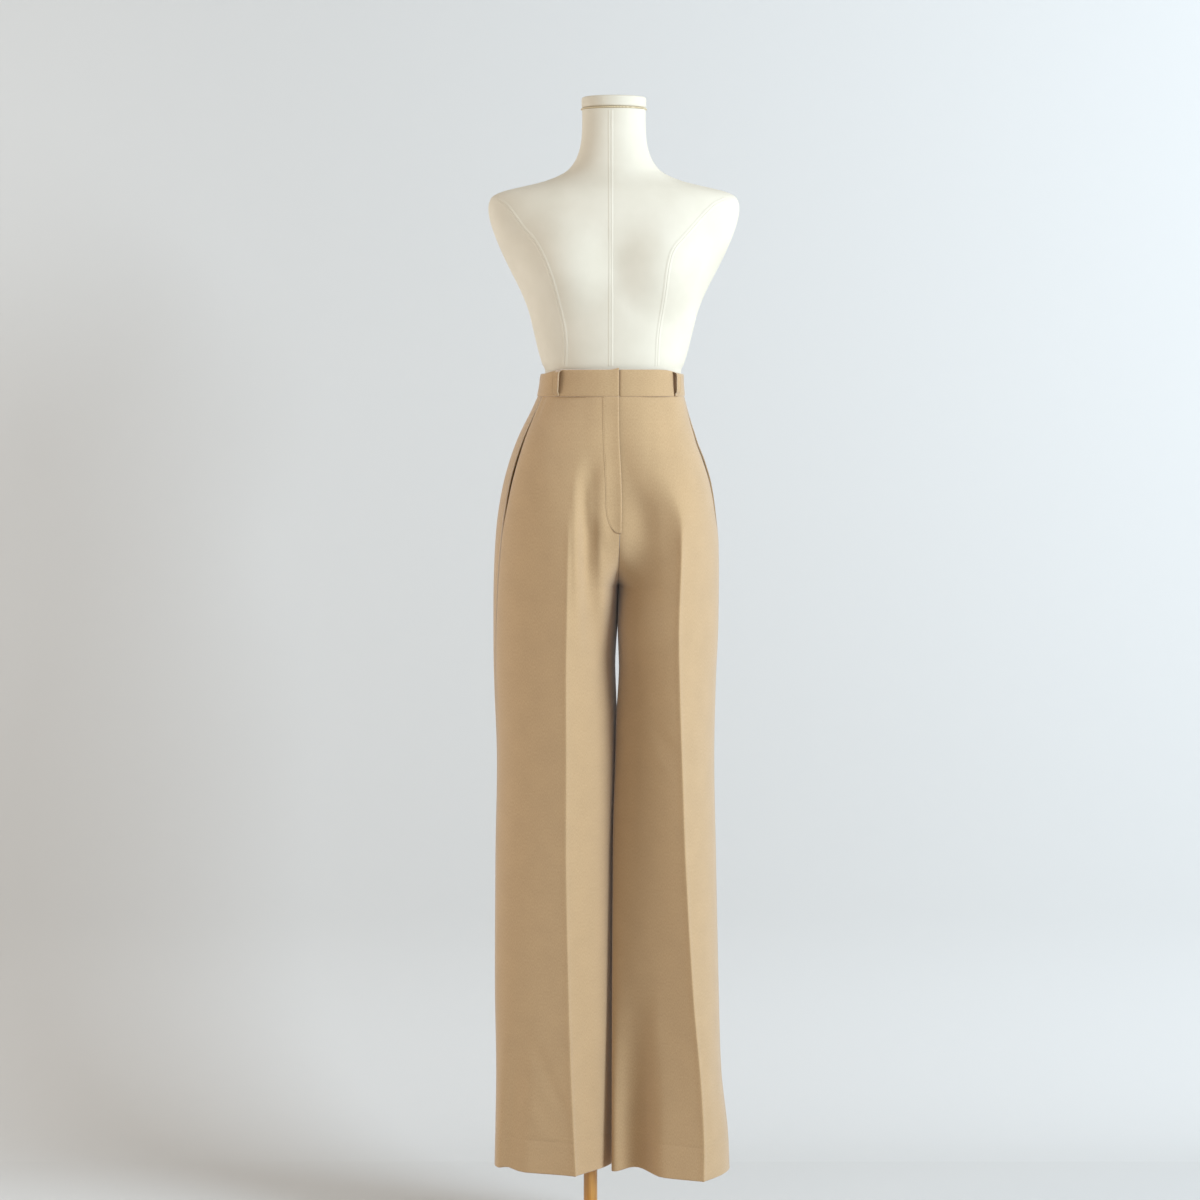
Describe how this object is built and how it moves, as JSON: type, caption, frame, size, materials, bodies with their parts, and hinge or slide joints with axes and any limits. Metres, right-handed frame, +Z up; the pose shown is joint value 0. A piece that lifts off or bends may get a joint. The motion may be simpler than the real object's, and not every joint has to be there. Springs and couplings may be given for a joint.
{
  "type": "straight-leg trousers on a limbless dress form with a stand",
  "caption": "High-waisted straight-leg wool trousers with creases, fly lap and belt loops, hanging from the waist of a covered dress form on a wooden pole and base.",
  "frame": {"origin": "on the floor, under the middle of the whole part", "axes": "+Z up along the pole, the front of the trousers faces -Y, the wearer's left leg is on +X"},
  "size_m": [0.3628, 0.296, 1.6869],
  "materials": {
    "wool": "matt camel wool flannel",
    "form_cover": "cream woven cotton cover",
    "gilt_cord": "thin tan and gilt cord",
    "wood": "clear varnish over light wood"
  },
  "bodies": {
    "root": {"front_right": "wool", "front_left": "wool", "back_right": "wool", "back_left": "wool", "waistband_right": "wool", "waistband_left": "wool", "fly_lap": "wool", "pocket_facing_right": "wool", "pocket_facing_left": "wool", "belt_loop_front_right": "wool", "belt_loop_front_left": "wool", "belt_loop_back_right": "wool", "belt_loop_back_left": "wool", "belt_loop_center_back": "wool", "torso": "form_cover", "neck_cap": "form_cover", "neck_ring": "gilt_cord", "pole": "wood", "base": "wood"}
  },
  "joints": []
}
